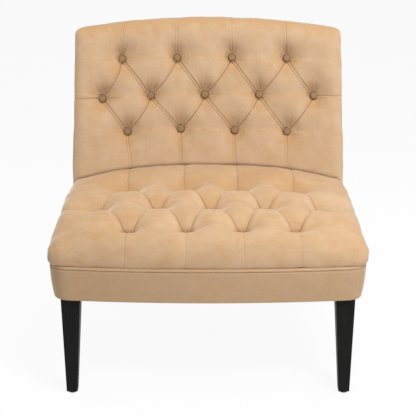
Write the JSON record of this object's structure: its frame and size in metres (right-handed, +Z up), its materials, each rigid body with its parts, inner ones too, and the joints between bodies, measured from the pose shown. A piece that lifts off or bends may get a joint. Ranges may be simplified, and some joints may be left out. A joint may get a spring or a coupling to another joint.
{
  "type": "tufted slipper chair",
  "caption": "Low armless upholstered chair with deep diamond-tufted seat and reclined button-tufted back, welted bowed apron and square tapered legs.",
  "frame": {"origin": "on the floor, under the centre of the bounding box", "axes": "+X to the right as seen from the front, +Y to the rear, +Z up; the chair faces -Y"},
  "size_m": [0.7122, 0.6974, 0.784],
  "materials": {
    "velvet": "matte",
    "black_wood": "satin",
    "timber": "matte",
    "plywood": "matte",
    "hardboard": "matte",
    "steel": "satin",
    "foam": "matte",
    "felt": "matte",
    "dust_cloth": "matte",
    "twine": "matte",
    "nylon": "matte"
  },
  "bodies": {
    "root": {"apron_cover": "velvet", "back_board": "plywood", "back_bolts": "steel", "back_bottom_rail": "timber", "back_buttons": "velvet", "back_cover": "velvet", "back_crest_rail": "timber", "back_dowels": "timber", "back_foam": "foam", "back_inserts": "steel", "back_left_post": "timber", "back_left_stile": "timber", "back_right_post": "timber", "back_right_stile": "timber", "back_tie_washers": "nylon", "back_ties": "twine", "block_screws": "steel", "dust_cover": "dust_cloth", "front_left_block": "timber", "front_left_leg": "black_wood", "front_right_block": "timber", "front_right_leg": "black_wood", "leg_bolts": "steel", "leg_glides": "nylon", "leg_inserts": "steel", "outside_board": "hardboard", "outside_cover": "velvet", "rail_dowels": "timber", "rear_left_block": "timber", "rear_left_leg": "black_wood", "rear_right_block": "timber", "rear_right_leg": "black_wood", "seat_cover": "velvet", "seat_felt": "felt", "seat_foam": "foam", "seat_front_rail": "timber", "seat_left_rail": "timber", "seat_rear_rail": "timber", "seat_right_rail": "timber", "seat_tie_washers": "nylon", "seat_ties": "twine", "spring_1": "steel", "spring_2": "steel", "spring_3": "steel", "spring_4": "steel", "spring_5": "steel", "spring_clips": "steel", "spring_tie_rods": "steel", "welt": "velvet"}
  },
  "joints": []
}
